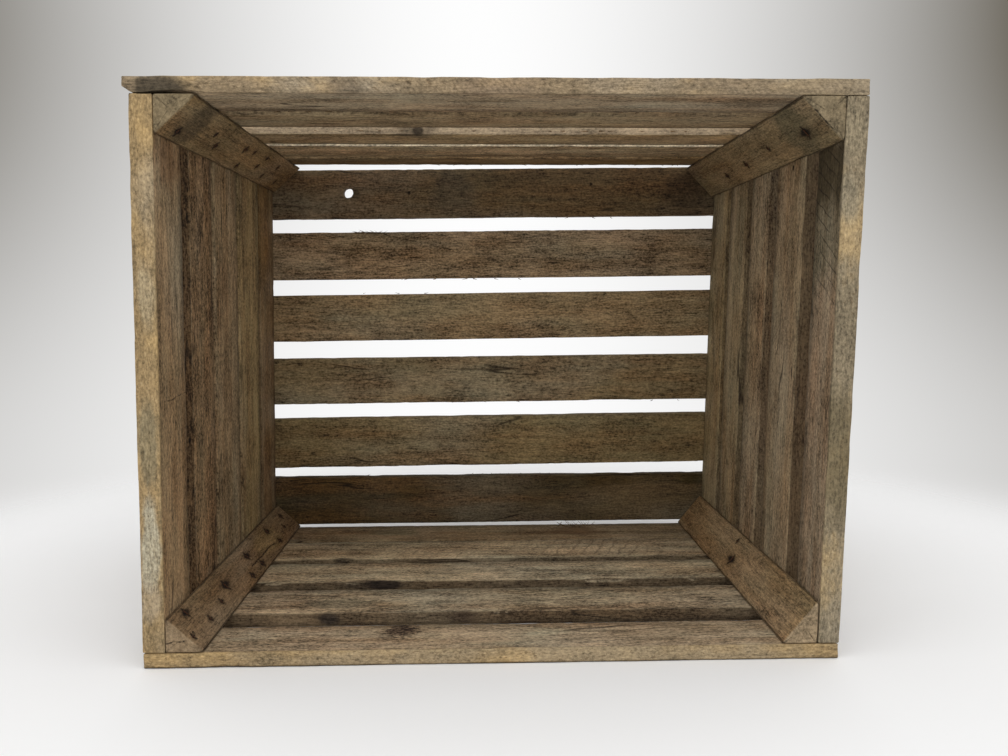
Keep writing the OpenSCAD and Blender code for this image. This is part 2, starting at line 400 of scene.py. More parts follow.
        # Pale arrises: partly bleached wear, partly a painted highlight where light catches the edges
        light = self.attribute("arris").ramp(0.4, 1.0) * self.cloud.ramp(0.4, 0.62)
        look = self.mix(light * self.arris_wear_and_highlight, look, BLEACHED)
        # Painted shadow lines along a post's long edges, where it meets the boards
        if self.edge_shadow_line:
            look = self.mix(self.attribute("long_edge").ramp(0.45, 0.9) * self.edge_shadow_line, look, CRACK_AND_SHADE)

        # Short checks that open along the grain
        seam = abs(self.mottle(self.grain, (5.0, 60.0, 60.0), 1.0) - 0.5).ramp(0.014, 0.0)
        gate = self.mottle(self.turned, (11.0, 24.0, 24.0), 1.0).ramp(0.56, 0.66)
        check = seam * gate * (1 - self.rim_mask) * self.checked
        look = self.mix(check, look, CRACK_AND_SHADE)
        specks = self.grit.ramp(0.7, 0.8)
        look = self.mix(specks * 0.4, look, SOOT)
        rust = self.attribute("rust") * (0.45 + self.mottle(self.grain, (90.0, 420.0, 420.0)) * 1.1)
        look = self.mix(rust.clamp(), look, RUST)
        self.colour(look)
        self.roughness(0.78 + self.lines * 0.22)
        self.relief(self.height - check * 1.6 - specks * 0.3, 0.6 * MM, 0.9)
        return self.material


def iron_finish():
    iron = Finish("rusty nail iron", 0.7)
    crust = iron.mottle(iron.places, 900.0, 4.0, 0.7)
    flake = iron.mottle(iron.places, 260.0, 3.0, 0.6)
    colour = iron.mix(crust.ramp(0.35, 0.65), shade(38, 24, 18), shade(92, 58, 36))
    colour = iron.mix(flake.ramp(0.55, 0.75) * 0.6, colour, shade(124, 78, 44))
    iron.colour(colour)
    iron.roughness(0.65 + crust * 0.3)
    iron.relief(crust, 0.3 * MM)
    return iron.material


# Worn sticks of wood


def soft_noise(points, scale, seed):
    """Smooth noise from 0 to 1 at each point, the same on every run."""
    where = points * np.asarray(scale, float) + seed * 13.7
    cell = np.floor(where).astype(np.int64)
    part = where - cell
    part = part * part * (3.0 - 2.0 * part)
    total = np.zeros(len(points))
    for corner in range(8):
        step = np.array([corner & 1, corner >> 1 & 1, corner >> 2 & 1])
        key = (cell + step) * np.array([73856093, 19349663, 83492791])
        code = (key[:, 0] ^ key[:, 1] ^ key[:, 2] ^ (seed * 2654435)) & 0x7FFFFFFF
        code = ((code ^ (code >> 13)) * 1274126177) & 0x7FFFFFFF
        code = code ^ (code >> 16)
        value = (code & 0xFFFF) / 65535.0
        weight = np.prod(np.where(step == 1, part, 1.0 - part), axis=1)
        total += weight * value
    return total


def smooth(value, low, high):
    """0 at low and 1 at high, with a soft step between."""
    part = np.clip((value - low) / (high - low), 0.0, 1.0)
    return part * part * (3.0 - 2.0 * part)


def node_points(node):
    return np.array([v.co[:] for v in frame["nodes"][node].data.vertices])


def end_corners(node, axis, side, reach=1.5 * MM):
    """The corners of a solid's end face, in order round it."""
    points = node_points(node)
    limit = points[:, axis].max() if side > 0 else points[:, axis].min()
    near = points[np.abs(points[:, axis] - limit) < reach]
    near = np.unique(np.round(near, 5), axis=0)
    flat = [a for a in range(3) if a != axis]
    middle = near.mean(axis=0)
    angle = np.arctan2(near[:, flat[1]] - middle[flat[1]], near[:, flat[0]] - middle[flat[0]])
    return near[np.argsort(angle)]


# Points of one nail lie closer together than this across it, and only its head is this wide
NAIL_APART = 5.5 * MM
PAST_SHANK = 1.5 * MM


def nail_ends(node, axis):
    """The middle of the head and the point of every nail in a group that runs along an axis."""
    flat = [a for a in range(3) if a != axis]
    nails = []
    for point in node_points(node):
        for nail in nails:
            if np.abs(point[flat] - nail[0][flat]).max() < NAIL_APART:
                nail.append(point)
                break
        else:
            nails.append([point])
    ends = []
    for nail in nails:
        group = np.array(nail)
        middle = (group.min(axis=0) + group.max(axis=0)) / 2
        wide = group[np.abs(group[:, flat[0]] - middle[flat[0]]) > PAST_SHANK]
        outward = np.sign(wide[:, axis].mean() - middle[axis])
        head = middle.copy()
        tip = middle.copy()
        head[axis] = group[:, axis].max() if outward > 0 else group[:, axis].min()
        tip[axis] = group[:, axis].min() if outward > 0 else group[:, axis].max()
        ends.append((head, tip))
    return ends


def stations(length, step, busy):
    """Distances along a stick where it has a ring, closer together round the busy places."""
    count = max(2, int(round(length / step)))
    values = [length * i / count for i in range(count + 1)]
    for place in busy:
        values += [place + off * MM for off in (-4.0, -3.0, -2.0, -1.0, 0.0, 1.0, 2.0, 3.0, 4.0)]
    kept = []
    for value in sorted(v for v in values if 2 * MM < v < length - 2 * MM):
        if not kept or value - kept[-1] > 0.7 * MM:
            kept.append(value)
    return [0.0, 0.35 * MM, 1.2 * MM] + kept + [length - 1.2 * MM, length - 0.35 * MM, length]


def ring_weights(corners, step, rounding):
    """How each point of a ring is made of the section's corners, and how far it lies from an arris."""
    count = len(corners)
    rows = []
    away = []
    for k in range(count):
        here = corners[k]
        back = np.linalg.norm(here - corners[k - 1])
        run = np.linalg.norm(corners[(k + 1) % count] - here)
        radius = min(rounding, run / 3, back / 3)
        for part, share in (("back", 1.0), ("mid", 0.29), ("on", 1.0)):
            row = np.zeros(count)
            row[k] = 1.0
            if part != "on":
                row[k - 1] += radius * share / back
                row[k] -= radius * share / back
            if part != "back":
                row[(k + 1) % count] += radius * share / run
                row[k] -= radius * share / run
            rows.append(row)
            away.append(0.0 if part == "mid" else radius)
        margin = min(rounding, run / 3)
        pieces = max(1, int(round((run - 2 * margin) / step)))
        for i in range(1, pieces):
            distance = margin + (run - 2 * margin) * i / pieces
            row = np.zeros(count)
            row[k] = 1 - distance / run
            row[(k + 1) % count] = distance / run
            rows.append(row)
            away.append(min(distance, run - distance))
    return np.array(rows), np.array(away)


CAP_SCALES = (0.86, 0.66, 0.42, 0.18)
HEAD_REACH = 3.6 * MM
RUST_REACH = 6.5 * MM
HEAD_DENT = 0.8 * MM
QUICK = 1.0
STEP_ALONG = 1.7 * MM * QUICK
STEP_ACROSS = 4.4 * MM
# How far the worn wood stays inside the box of the solids
INSIDE_BOX = 0.05 * MM
# How far the pale arrises, partly painted highlight, and the painted shadow lines along edges reach
EDGE_REACH = 1.3 * MM


class Stick:
    """One board, slat or post, swept from the corners of its two end faces."""

    def __init__(self, node, axis, seed, start=None, end=None):
        self.node = node
        self.seed = seed
        self.axis = axis
        self.start = end_corners(node, axis, -1) if start is None else start
        self.end = end_corners(node, axis, 1) if end is None else end
        self.length = float(abs((self.end.mean(axis=0) - self.start.mean(axis=0))[axis]))
        self.along = (self.end.mean(axis=0) - self.start.mean(axis=0)) / self.length
        self.rounding = 0.9 * MM
        self.across = STEP_ACROSS
        self.nails = []
        self.marks = []
        self.bites = []
        self.wear = 0.7
        self.wander = 0.4

    def build(self):
        rows, away = ring_weights(self.start, self.across, self.rounding)
        first = float(self.start[:, self.axis].mean())
        busy = [abs(float(head[self.axis]) - first) for head, _ in self.nails]
        busy += [abs(float(mark[0][self.axis]) - first) for mark in self.marks]
        runs = np.array(stations(self.length, STEP_ALONG, sorted(busy)))
        parts = (runs / self.length)[:, None, None]
        corners = self.start[None] * (1 - parts) + self.end[None] * parts
        rings = np.einsum("pk,skx->spx", rows, corners)
        count, points = rings.shape[:2]

        outward = self.outward(rings)

        # The ends are rounded like the long edges
        inset = np.zeros(count)
        inset[[0, -1]] = 0.8 * MM
        inset[[1, -2]] = 0.3 * MM
        rings = rings - outward * inset[:, None, None]

        flat = rings.reshape(-1, 3)
        run = np.repeat(runs, points)
        edge = np.tile(away, count)
        from_end = np.minimum(run, self.length - run)
        self.rust = np.zeros(len(flat))
        flat = self.weather(flat, outward.reshape(-1, 3), edge, from_end)
        flat = np.clip(flat, np.array(CAD_BOX[0]) + INSIDE_BOX, np.array(CAD_BOX[1]) - INSIDE_BOX)
        vertices = np.vstack([flat] + self.caps(flat, count, points))

        piece = add_mesh(self.node + "_wood", vertices.tolist(), self.faces(count, points))
        mesh = piece.data
        spare = np.zeros(len(vertices) - len(flat))
        arris = np.exp(-np.minimum(edge, from_end) / EDGE_REACH)
        store(mesh, "arris", np.concatenate([arris, spare]))
        store(mesh, "long_edge", np.concatenate([np.exp(-edge / EDGE_REACH), spare]))
        store(mesh, "rust", np.concatenate([self.rust, spare]))
        on_end = smooth(-from_end, -1.0 * MM, -0.2 * MM)
        store(mesh, "end", np.concatenate([on_end, spare + 1.0]))
        mesh.update()
        return piece

    def outward(self, rings):
        """Outward directions round the section, at every point of every ring."""
        ahead = np.roll(rings, -1, axis=1) - rings
        behind = rings - np.roll(rings, 1, axis=1)
        ahead /= np.linalg.norm(ahead, axis=2, keepdims=True)
        behind /= np.linalg.norm(behind, axis=2, keepdims=True)
        outward = np.cross(ahead + behind, self.along[None, None])
        outward /= np.linalg.norm(outward, axis=2, keepdims=True)
        turned = np.einsum("spx,spx->s", outward, rings - rings.mean(axis=1, keepdims=True))
        return outward * np.sign(turned)[:, None, None]

    def caps(self, flat, count, points):
        """The end faces, which close over rings that shrink to the middle."""
        caps = []
        for ring in (0, count - 1):
            rim = flat[ring * points:(ring + 1) * points]
            centre = rim.mean(axis=0)
            inward = self.along if ring == 0 else -self.along
            for scale in CAP_SCALES:
                layer = centre + (rim - centre) * scale
                rough = soft_noise(layer, 420.0, self.seed + 5) * 0.35 * MM
                caps.append(layer + inward[None] * rough[:, None])
            caps.append(centre[None] + inward[None] * 0.15 * MM)
        return caps

    def faces(self, rings, points):
        faces = []
        turns = [(p, (p + 1) % points) for p in range(points)]
        for s in range(rings - 1):
            a = s * points
            b = a + points
            faces += [(a + p, a + q, b + q, b + p) for p, q in turns]
        layer_size = len(CAP_SCALES) * points + 1
        for cap, ring in enumerate((0, rings - 1)):
            first = rings * points + cap * layer_size
            loops = [ring * points] + [first + k * points for k in range(len(CAP_SCALES))]
            turn = 1 if cap == 0 else -1
            for low, high in zip(loops, loops[1:]):
                faces += [(low + q, low + p, high + p, high + q)[::turn] for p, q in turns]
            centre = first + len(CAP_SCALES) * points
            faces += [(loops[-1] + q, loops[-1] + p, centre)[::turn] for p, q in turns]

        # The section may run either way round, so the faces are turned to look outwards
        middle = self.start.mean(axis=0)
        spin = np.cross(self.start[0] - middle, self.start[1] - middle)
        return [face[::-1] for face in faces] if np.dot(spin, self.along) < 0 else faces

    def weather(self, flat, normal, edge, from_end):
        """Moves the surface where it is worn, chipped, splintered or nailed."""
        across = [a for a in range(3) if a != self.axis]
        stretch = np.full(3, 260.0)
        stretch[self.axis] = 22.0
        fibre = soft_noise(flat, stretch, self.seed)
        fine = soft_noise(flat, stretch * 2.3, self.seed + 1)
        chip_scale = np.full(3, 150.0)
        chip_scale[self.axis] = 46.0
        chip = smooth(soft_noise(flat, chip_scale, self.seed + 2), 0.6, 0.95)
        nick = smooth(soft_noise(flat, chip_scale * 2.7, self.seed + 3), 0.6, 0.9)
        fuzz = soft_noise(flat, chip_scale * 6.0, self.seed + 7)
        near = np.exp(-edge / (1.5 * MM))
        inward = (0.02 + 0.2 * fibre + 0.1 * fine) * MM
        inward += near * (1.1 * chip + 0.5 * nick + 0.35 * fuzz) * MM * self.wear
        flat = flat - normal * inward[:, None]

        # The width wanders along the board
        middle = (self.start.mean(axis=0) + self.end.mean(axis=0)) / 2
        for a in across:
            half = max(1e-6, np.abs(flat[:, a] - middle[a]).max())
            side = np.sign(flat[:, a] - middle[a])
            slow = np.zeros((len(flat), 3))
            slow[:, 0] = flat[:, self.axis] * 16.0 + side * 31.0
            slow[:, 1] = a * 7.0
            amount = soft_noise(slow, 1.0, self.seed + 4) - 0.65
            amount += soft_noise(slow, 4.3, self.seed + 6) * 0.5
            share = self.wander if half > 9 * MM else self.wander * 0.3
            flat[:, a] -= side * amount * share * MM * np.abs(flat[:, a] - middle[a]) / half

        # Ragged ends
        ragged = soft_noise(flat, 330.0, self.seed + 8) * 0.6
        ragged = ragged + soft_noise(flat, 110.0, self.seed + 9) * 0.6
        pull = np.exp(-from_end / (2.0 * MM)) * ragged * 0.6 * MM
        flat[:, self.axis] += np.sign(middle[self.axis] - flat[:, self.axis]) * pull

        for head, tip in self.nails:
            self.dent(flat, normal, head, head - tip, HEAD_DENT, HEAD_REACH, RUST_REACH)
        for centre, way, depth, reach in self.marks:
            self.dent(flat, normal, centre, way, depth, reach, 0.0)
        for bite in self.bites:
            flat = bite(flat)
        return flat

    def dent(self, flat, normal, centre, way, depth, reach, stain):
        way = np.asarray(way, float) / np.linalg.norm(way)
        off = flat - np.asarray(centre)
        close = (normal @ way > 0.6) & (np.abs(off @ way) < 6 * MM)
        side = off - np.outer(off @ way, way)
        side[:, self.axis] *= 0.75
        apart = np.linalg.norm(side, axis=1)
        sink = depth * (1 - smooth(apart, reach * 0.6, reach))
        flat[close] -= np.outer(sink[close], way)
        if stain:
            rusty = 1 - smooth(apart, reach * 0.4, stain)
            self.rust[close] = np.maximum(self.rust[close], rusty[close])


def store(mesh, name, values):
    layer = mesh.attributes.new(name, "FLOAT", "POINT")
    layer.data.foreach_set("value", np.ascontiguousarray(values, np.float32))


def add_mesh(name, vertices, faces):
    mesh = bpy.data.meshes.new(name)
    mesh.from_pydata([tuple(v) for v in vertices], [], faces)
    mesh.polygons.foreach_set("use_smooth", np.ones(len(mesh.polygons), bool))
    piece = bpy.data.objects.new(name, mesh)
    bpy.context.scene.collection.objects.link(piece)
    return piece


def tube_faces(first, rings, sides):
    """The faces of rings of points between two end points, of which the one before is first."""
    faces = []
    last = first + 1 + (rings - 1) * sides
    for k in range(sides):
        q = (k + 1) % sides
        faces.append((first, first + 1 + q, first + 1 + k))
        for a in range(first + 1, last, sides):
            b = a + sides
            faces.append((a + k, a + q, b + q, b + k))
        faces.append((last + k, last + q, last + sides))
    return faces


def dress(piece, finish, slot, *nodes):
    piece.data.materials.append(finish)
    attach(piece, "root")
    if nodes:
        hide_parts(*nodes)
    return piece


# The colour of each row of boards, from the mouth inwards or from the top down
BOARD_TONES = {
    "top": [(153, 135, 109), (152, 131, 100), (169, 144, 106), (174, 151, 117), (147, 119, 79)],
    "bottom": [(158, 138, 110), (148, 131, 105), (164, 148, 120), (172, 153, 122), (132, 114, 87)],
    "left": [(142, 118, 87), (122, 98, 70), (138, 118, 89), (147, 126, 88), (125, 98, 62)],
    "right": [(140, 122, 99), (144, 125, 97), (146, 126, 97), (150, 133, 102), (154, 134, 98)],
    # The first slat's tone is darkened in part as painted shade from the top wall above it
    "floor": [
        (103, 84, 58), (137, 116, 88), (142, 123, 92), (126, 109, 79), (122, 105, 73), (67, 53, 28),
    ],
}
# Painted light and shade on the edges that face the mouth, past the first board of each wall: how much
# darker (painted shade) or paler (painted light) they are, and how much of which tone is laid over them.
# The deep brown tint goes over the shaded edges, and the pale tints are painted highlights
SHADED_EDGE_TINT = (92, 68, 42)
EDGE_LIGHT_AND_SHADE = {
    "top": [
        (0.9, 0.1, SHADED_EDGE_TINT), (1.0, 0.85, (173, 154, 128)), (1.8, 0.9, (230, 216, 188)), (1.25, 0.1, SHADED_EDGE_TINT),
    ],
    "bottom": [(0.53, 0.3, SHADED_EDGE_TINT), (0.4, 0.3, SHADED_EDGE_TINT), (0.52, 0.2, SHADED_EDGE_TINT), (1.2, 0.1, SHADED_EDGE_TINT)],
    "left": [(0.5, 0.3, SHADED_EDGE_TINT), (1.28, 0.1, SHADED_EDGE_TINT), (1.25, 0.1, SHADED_EDGE_TINT), (0.98, 0.2, SHADED_EDGE_TINT)],
    "right": [(0.42, 0.3, SHADED_EDGE_TINT), (0.53, 0.3, SHADED_EDGE_TINT), (0.61, 0.2, SHADED_EDGE_TINT), (0.66, 0.2, SHADED_EDGE_TINT)],
}
# How strong the grain of a few boards is, where it isn't the common 1
CONTRASTS = {
    "left_board_2": 1.8, "left_board_3": 1.2, "bottom_board_2": 1.3, "bottom_board_3": 1.2,
    "bottom_board_4": 1.2, "top_board_4": 1.3, "right_board_3": 1.2, "floor_slat_2": 1.3,
}
RIM_TONES = {
    "top": (140, 122, 96), "bottom": (158, 134, 96), "left": (151, 128, 92), "right": (134, 121, 98),
}
# Painted shade at the rim's foot, and on the edges past it, where a wall lies on the ground: how dark it
# gets
FOOT_SHADE = {"bottom": 0.8}
EDGE_FOOT_SHADE = {"bottom": 0.5}
POST_TONES = [(127, 103, 70), (131, 111, 80), (116, 94, 67), (138, 113, 80)]
POST_END_TONES = [(121, 107, 82), (119, 106, 83), (145, 127, 101), (145, 127, 101)]

NAILS = {
    "top": nail_ends("nails_top_wall", 2),
    "bottom": nail_ends("nails_bottom_wall", 2),
    "left": nail_ends("nails_left_wall", 0),
    "right": nail_ends("nails_right_wall", 0),
    "floor": nail_ends("nails_floor", 1),
}
WALL_BOARDS = 5
FLOOR_SLATS = 6


def nails_in(node, wall):
    low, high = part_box(node)
    slack = 2 * MM
    return [
        (head, tip) for head, tip in NAILS[wall]
        if all(low[a] - slack < head[a] < high[a] + slack for a in range(3))
    ]


# The worn left end of the first top board, with the sizes that its solid has
OVERHANG = 3.9 * MM
BROKEN_WIDTH = 6.5 * MM
BROKEN_HEIGHT = 4.5 * MM
HOLLOW_DEPTH = 2.0 * MM
HOLLOW_LENGTH = 44.0 * MM
HOLLOW_RUN = 24.0 * MM
HOLLOW_IN = 28.0 * MM


def worn_top_end(flat):
    """The broken corner and the hollow under the first top board."""
    low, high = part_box("top_board_1")
    radius = ((HOLLOW_LENGTH / 2) ** 2 + HOLLOW_DEPTH ** 2) / (2 * HOLLOW_DEPTH)
    in_from_end = flat[:, 0] - low.x
    rough = (soft_noise(flat, 300.0, 91) - 0.5) * 0.8 * MM
    slope = low.z + BROKEN_HEIGHT * (1 - in_from_end / BROKEN_WIDTH) + rough
    broken = in_from_end < BROKEN_WIDTH
    flat[broken, 2] = np.maximum(flat[broken, 2], slope[broken])
    from_rim = flat[:, 1] - low.y
    arc = radius - HOLLOW_DEPTH * from_rim / HOLLOW_RUN
    off = in_from_end - OVERHANG - HOLLOW_IN
    roof = low.z - radius + HOLLOW_DEPTH + np.sqrt(np.maximum(arc ** 2 - off ** 2, 0.0)) + rough * 0.3
    under = (from_rim < HOLLOW_RUN) & (np.abs(off) < HOLLOW_LENGTH / 2)
    flat[under, 2] = np.maximum(flat[under, 2], np.minimum(roof, high.z)[under])
    return flat


def first_top_board():
    node = "top_board_1"
    end = end_corners(node, 0, 1)
    start = end.copy()
    start[:, 0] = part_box(node)[0].x
    stick = Stick(node, 0, 11, start, end)
    stick.bites.append(worn_top_end)
    return stick


# The marks of single pieces, each placed by the pixel of the frame at which it shows, with one painted
# shadow among them. A stain has its pixel, its reach in millimetres along X, Y and Z, its tone, its
# strength, how uneven its edge is, and whether it keeps to the rim or to the inside of the crate.
STAINS_AND_SHADOWS = {
    "top_board_1": [
        ((157, 88), (19, 20, 9), (66, 58, 46), 0.88, 1.3, "all"),
        ((127, 84), (5, 20, 9), (142, 124, 99), 0.65, 1.0, "all"),
        ((345, 86), (12, 9, 9), (96, 82, 66), 0.5, 1.0, "all"),
        ((500, 85), (28, 5, 12), (128, 110, 90), 0.6, 1.0, "all"),
        ((630, 85), (28, 5, 12), (154, 138, 114), 0.6, 1.0, "all"),
        ((742, 85), (28, 5, 12), (130, 114, 92), 0.6, 1.0, "all"),
        ((822, 85), (28, 5, 12), (128, 112, 88), 0.6, 1.0, "all"),
    ],
    "top_board_3": [
        ((418, 131), (13, 14, 12), (88, 76, 60), 0.6, 1.0, "all"),
        ((418, 131), (4, 6, 4), (40, 32, 24), 0.8, 1.0, "all"),
    ],
    "bottom_board_1": [
        ((401, 631), (18, 15, 9), (112, 92, 70), 0.5, 1.4, "all"),
        ((528, 632), (28, 8, 6), (148, 142, 118), 0.5, 1.4, "all"),
        ((480, 634), (38, 14, 6), (170, 148, 120), 0.65, 1.4, "all"),
        ((670, 632), (50, 14, 6), (138, 118, 92), 0.45, 1.4, "all"),
    ],
    "bottom_board_2": [
        ((328, 619), (10, 4, 7), (30, 26, 24), 0.8, 1.0, "all"),
        ((462, 617), (12, 4, 7), (52, 38, 28), 0.6, 1.0, "all"),
        ((340, 604), (22, 12, 6), (106, 102, 84), 0.5, 1.5, "all"),
    ],
    "bottom_board_3": [
        ((385, 585), (16, 4, 6), (24, 18, 16), 0.9, 1.0, "all"),
        ((365, 583), (26, 5, 6), (52, 42, 34), 0.6, 1.0, "all"),
        ((460, 570), (30, 12, 6), (152, 140, 116), 0.5, 1.5, "all"),
    ],
    "bottom_board_4": [((343, 559), (12, 4, 6), (34, 24, 18), 0.7, 1.0, "all")],
    "bottom_board_5": [
        ((580, 531), (34, 16, 6), (92, 66, 44), 0.65, 1.3, "all"),
        ((400, 533), (24, 14, 6), (110, 104, 80), 0.45, 1.3, "all"),
    ],
    "right_board_1": [
        ((827, 215), (20, 60, 50), (106, 100, 78), 0.55, 1.2, "inside"),
        ((829, 166), (20, 46, 30), (70, 60, 42), 0.95, 1.0, "inside"),
        ((836, 462), (16, 5, 46), (98, 87, 64), 0.75, 1.0, "rim"),
        ((854, 130), (9, 4, 16), (146, 133, 108), 0.6, 1.2, "rim"),
        ((851, 200), (8, 4, 16), (146, 136, 114), 0.5, 1.0, "all"),
    ],
    "right_board_2": [((793, 168), (6, 2, 2.2), (24, 18, 14), 0.9, 0.3, "all")],
    "left_board_1": [
        ((144, 290), (7, 3, 22), (164, 150, 122), 0.55, 1.5, "all"),
        ((146, 440), (8, 3, 26), (118, 110, 88), 0.7, 1.5, "all"),
        ((150, 548), (6.5, 3, 29), (176, 171, 151), 0.68, 1.9, "all"),
        ((152, 606), (8, 3, 16), (156, 142, 120), 0.6, 1.5, "all"),
        ((167, 160), (20, 24, 20), (118, 84, 56), 0.5, 1.4, "inside"),
    ],
    "floor_slat_1": [
        ((354, 194), (7, 12, 6), (50, 42, 32), 0.6, 1.0, "all"),
        ((591, 184), (1.8, 6, 1.8), (26, 20, 14), 0.9, 0.3, "all"),
        ((409, 193), (1.8, 6, 1.8), (26, 20, 14), 0.9, 0.3, "all"),
        ((455, 195), (26, 8, 26), (84, 80, 70), 0.35, 1.0, "all"),
        # Painted shadow of the top right post on the right end of the first slat
        ((690, 195), (28, 8, 26), (52, 42, 32), 0.55, 1.0, "all"),
    ],
    "floor_slat_6": [((640, 500), (70, 8, 26), (118, 100, 74), 0.5, 1.0, "all")],
    "post_bottom_left": [
        ((184, 622), (30, 34, 30), (134, 110, 82), 0.45, 1.2, "all"),
        ((268, 541), (10, 28, 10), (146, 120, 80), 0.7, 1.2, "all"),
    ],
    "post_top_right": [((795, 130), (26, 26, 26), (84, 80, 60), 0.65, 1.0, "all")],
    "post_top_left": [((194, 126), (24, 20, 24), (74, 64, 48), 0.7, 1.0, "all")],
}
# Long cracks: the pixels they run through, their half width in millimetres and their strength
CRACKS = {
    "left_board_1": [(((165, 402), (172, 400), (178, 396), (186, 392)), 0.7, 0.7)],
    "post_bottom_left": [
        (((163.6, 643.8), (183.5, 642), (193.5, 631.4)), 0.9, 0.9),
        (((252, 566), (262, 556), (270, 546), (283, 540)), 0.8, 0.9),
    ],
    "post_top_right": [(((813, 106), (821, 116), (831, 127), (837, 134)), 1.0, 0.9)],
}
# Saw marks: pixel and reach like a stain's, the way across the marks, their spacing in
# millimetres, strength, ink, width as a share of the spacing, wobble and side of the rim
SAW_MARKS = {
    "top_board_1": [((495, 86), (400, 60, 60), (1.0, 0.0, 0.9), 2.6, 0.14, SOOT, 0.3, 1.6, "rim")],
    "bottom_board_4": [
        ((596, 547), (75, 60, 20), (0.93, -0.37, 0.0), 11.0, 0.42, SAW_BURN, 0.14, 0.9, "all"),
        ((440, 549), (60, 60, 20), (0.9, -0.43, 0.0), 10.0, 0.3, SAW_BURN, 0.16, 0.9, "all"),
    ],
    "right_board_1": [
        ((826, 215), (20, 50, 75), (0.0, -0.5, 0.87), 8.5, 0.6, CRACK_AND_SHADE, 0.09, 0.5, "inside"),
    ],
}
KNOT_PIXEL = (401, 631)
# How far the painted shade at the top of the first slat reaches down, where the top wall shades it
SLAT_TOP_SHADE_REACH = 34 * MM


def in_mm(sizes):
    return tuple(size * MM for size in sizes)


def mark(wood, node):
    """Lays the stains, painted shadows, saw marks and cracks of one piece over its wood."""
    sides = {"all": 1.0, "inside": 1 - wood.rim_mask, "rim": wood.rim_mask}
    for pixel, reach, tone, strength, rough, side in STAINS_AND_SHADOWS.get(node, []):
        wood.stain(seen_at(pixel, node)[0], in_mm(reach), tone, strength, rough, sides[side])
    for pixel, reach, way, spacing, strength, ink, width, wobble, side in SAW_MARKS.get(node, []):
        sawn = wood.near(seen_at(pixel, node)[0], in_mm(reach), 0.6) * sides[side]
        wood.saw(way, spacing * MM, strength, sawn, ink, width, wobble)
    for pixels, width, strength in CRACKS.get(node, []):
        wood.split_along([seen_at(pixel, node)[0] for pixel in pixels], width * MM, strength)


def torn_knot(wood):
    """The dark knot on the first bottom board, torn by the saw into short strokes."""
    middle = seen_at(KNOT_PIXEL, "bottom_board_1")[0]
    wood.stain(middle, in_mm((10, 9, 5)), (78, 60, 46), 0.7, 1.5)
    strokes = (wood.hairs * 0.5 + wood.grit * 0.5).ramp(0.56, 0.44)
    wood.stain(middle, in_mm((14, 13, 5)), (36, 24, 18), 0.98, 1.4, strokes)


def make_wall(wall, axis, slot, seed):
    letter = "XYZ"[axis]
    for i in range(1, WALL_BOARDS + 1):
        node = f"{wall}_board_{i}"
        stick = first_top_board() if node == "top_board_1" else Stick(node, axis, seed + i)
        stick.nails = nails_in(node, wall)
        tone = BOARD_TONES[wall][i - 1]
        wood = Wood(f"{wall} board {i} wood", letter, seed + i, tone, contrast=CONTRASTS.get(node, 1.0))
        if i == 1:
            stick.across = 2.6 * MM
        wood.lay_grain()
        wood.look = wood.finish_colour()
        low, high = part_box(node)
        # Painted shade along the front and back edges of each board
        wood.painted_edge_shade(1, low.y, high.y, (4 * MM, 13 * MM), 0.32)
        if i == 1:
            wood.rim(RIM_TONES[wall], FOOT_SHADE.get(wall, 0.0))
            stick.rounding = 0.5 * MM
            stick.wear = 0.45
            stick.wander = 0.8
        else:
            # Painted light and shade on the board's front edge
            wood.front_edge_light_and_shade(*EDGE_LIGHT_AND_SHADE[wall][i - 2], EDGE_FOOT_SHADE.get(wall, 0.0))
        if wall == "bottom":
            stick.rounding = 0.45 * MM
            stick.wear = 0.5
        mark(wood, node)
        if node == "bottom_board_1":
            torn_knot(wood)
        dress(stick.build(), wood.close(), slot, node)


PEG_RADIUS = 5.0 * MM
PEG_SIDES = 48
DRILL_REACH = 0.03


def cut_peg_hole(piece):
    """Bores the hole that the record calls peg_hole, with the slight wander of a hand brace."""
    mount = next(m for m in frame["record"]["mounts"] if m["name"] == "peg_hole")
    centre = mount["pos_m"]
    vertices = []
    for y in (centre[1] - DRILL_REACH, centre[1] + DRILL_REACH):
        for k in range(PEG_SIDES):
            angle = 2 * math.pi * k / PEG_SIDES
            radius = PEG_RADIUS - 0.12 * MM * (1 + math.sin(3 * angle) * math.cos(5 * angle))
            x = centre[0] + radius * math.cos(angle)
            vertices.append((x, y, centre[2] + radius * math.sin(angle)))
    near = list(range(PEG_SIDES))
    far = [k + PEG_SIDES for k in near]
    sides = [(k, (k + 1) % PEG_SIDES, (k + 1) % PEG_SIDES + PEG_SIDES, k + PEG_SIDES) for k in near]
    drill = add_mesh("drill", vertices, [tuple(near[::-1]), tuple(far)] + [s[::-1] for s in sides])
    cut = piece.modifiers.new("peg hole", "BOOLEAN")
    cut.operation = "DIFFERENCE"
    cut.solver = "EXACT"
    cut.object = drill
    ready = piece.evaluated_get(bpy.context.evaluated_depsgraph_get())
    bored = bpy.data.meshes.new_from_object(ready)
    piece.modifiers.clear()
    piece.data = bored
    bpy.data.objects.remove(drill)
    bored.set_sharp_from_angle(angle=math.radians(50))


